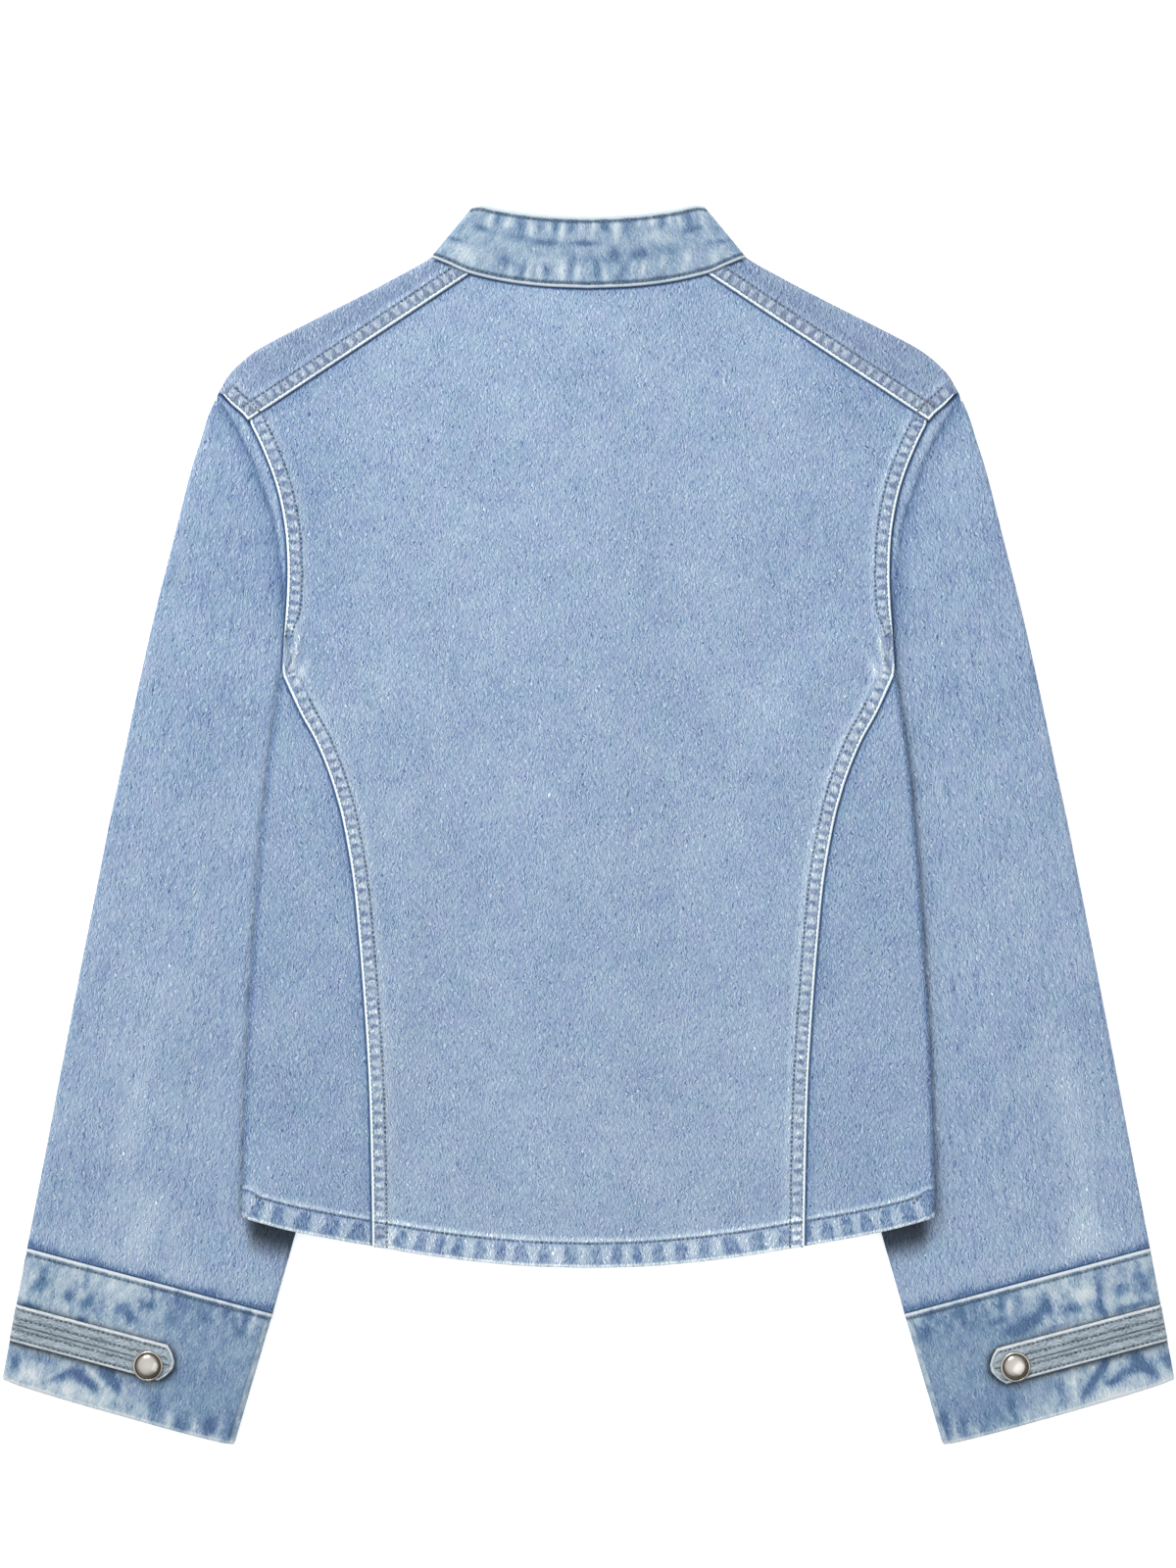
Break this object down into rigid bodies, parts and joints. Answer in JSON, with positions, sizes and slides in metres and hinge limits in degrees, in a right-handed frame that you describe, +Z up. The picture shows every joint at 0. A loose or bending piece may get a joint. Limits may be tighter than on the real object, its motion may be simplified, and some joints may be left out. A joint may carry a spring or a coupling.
{
  "type": "denim jacket",
  "caption": "Cropped light-wash denim jacket with a stand collar, curved back seams and buttoned cuff tabs, laid flat with its back upwards.",
  "frame": {"origin": "middle of the jacket's outline, on the surface that it lies on", "axes": "+Z up from the surface, towards the jacket's back; +Y from the hem to the collar; +X towards the wearer's right"},
  "size_m": [0.6702, 0.7088, 0.0138],
  "materials": {
    "light_denim": "washed twill with a soft nap",
    "washed_denim": "mottled, strongly washed twill",
    "pale_denim": "pale, worn twill",
    "button_metal": "satin, domed"
  },
  "bodies": {
    "root": {"back_centre": "light_denim", "back_side_left": "light_denim", "back_side_right": "light_denim", "front_left": "light_denim", "front_right": "light_denim", "collar": "washed_denim", "sleeve_left": "light_denim", "sleeve_right": "light_denim", "cuff_left": "washed_denim", "cuff_right": "washed_denim", "cuff_tab_left": "pale_denim", "cuff_tab_right": "pale_denim", "cuff_button_left": "button_metal", "cuff_button_right": "button_metal", "front_button_1": "button_metal", "front_button_2": "button_metal", "front_button_3": "button_metal", "front_button_4": "button_metal", "front_button_5": "button_metal", "front_button_6": "button_metal"}
  },
  "joints": []
}
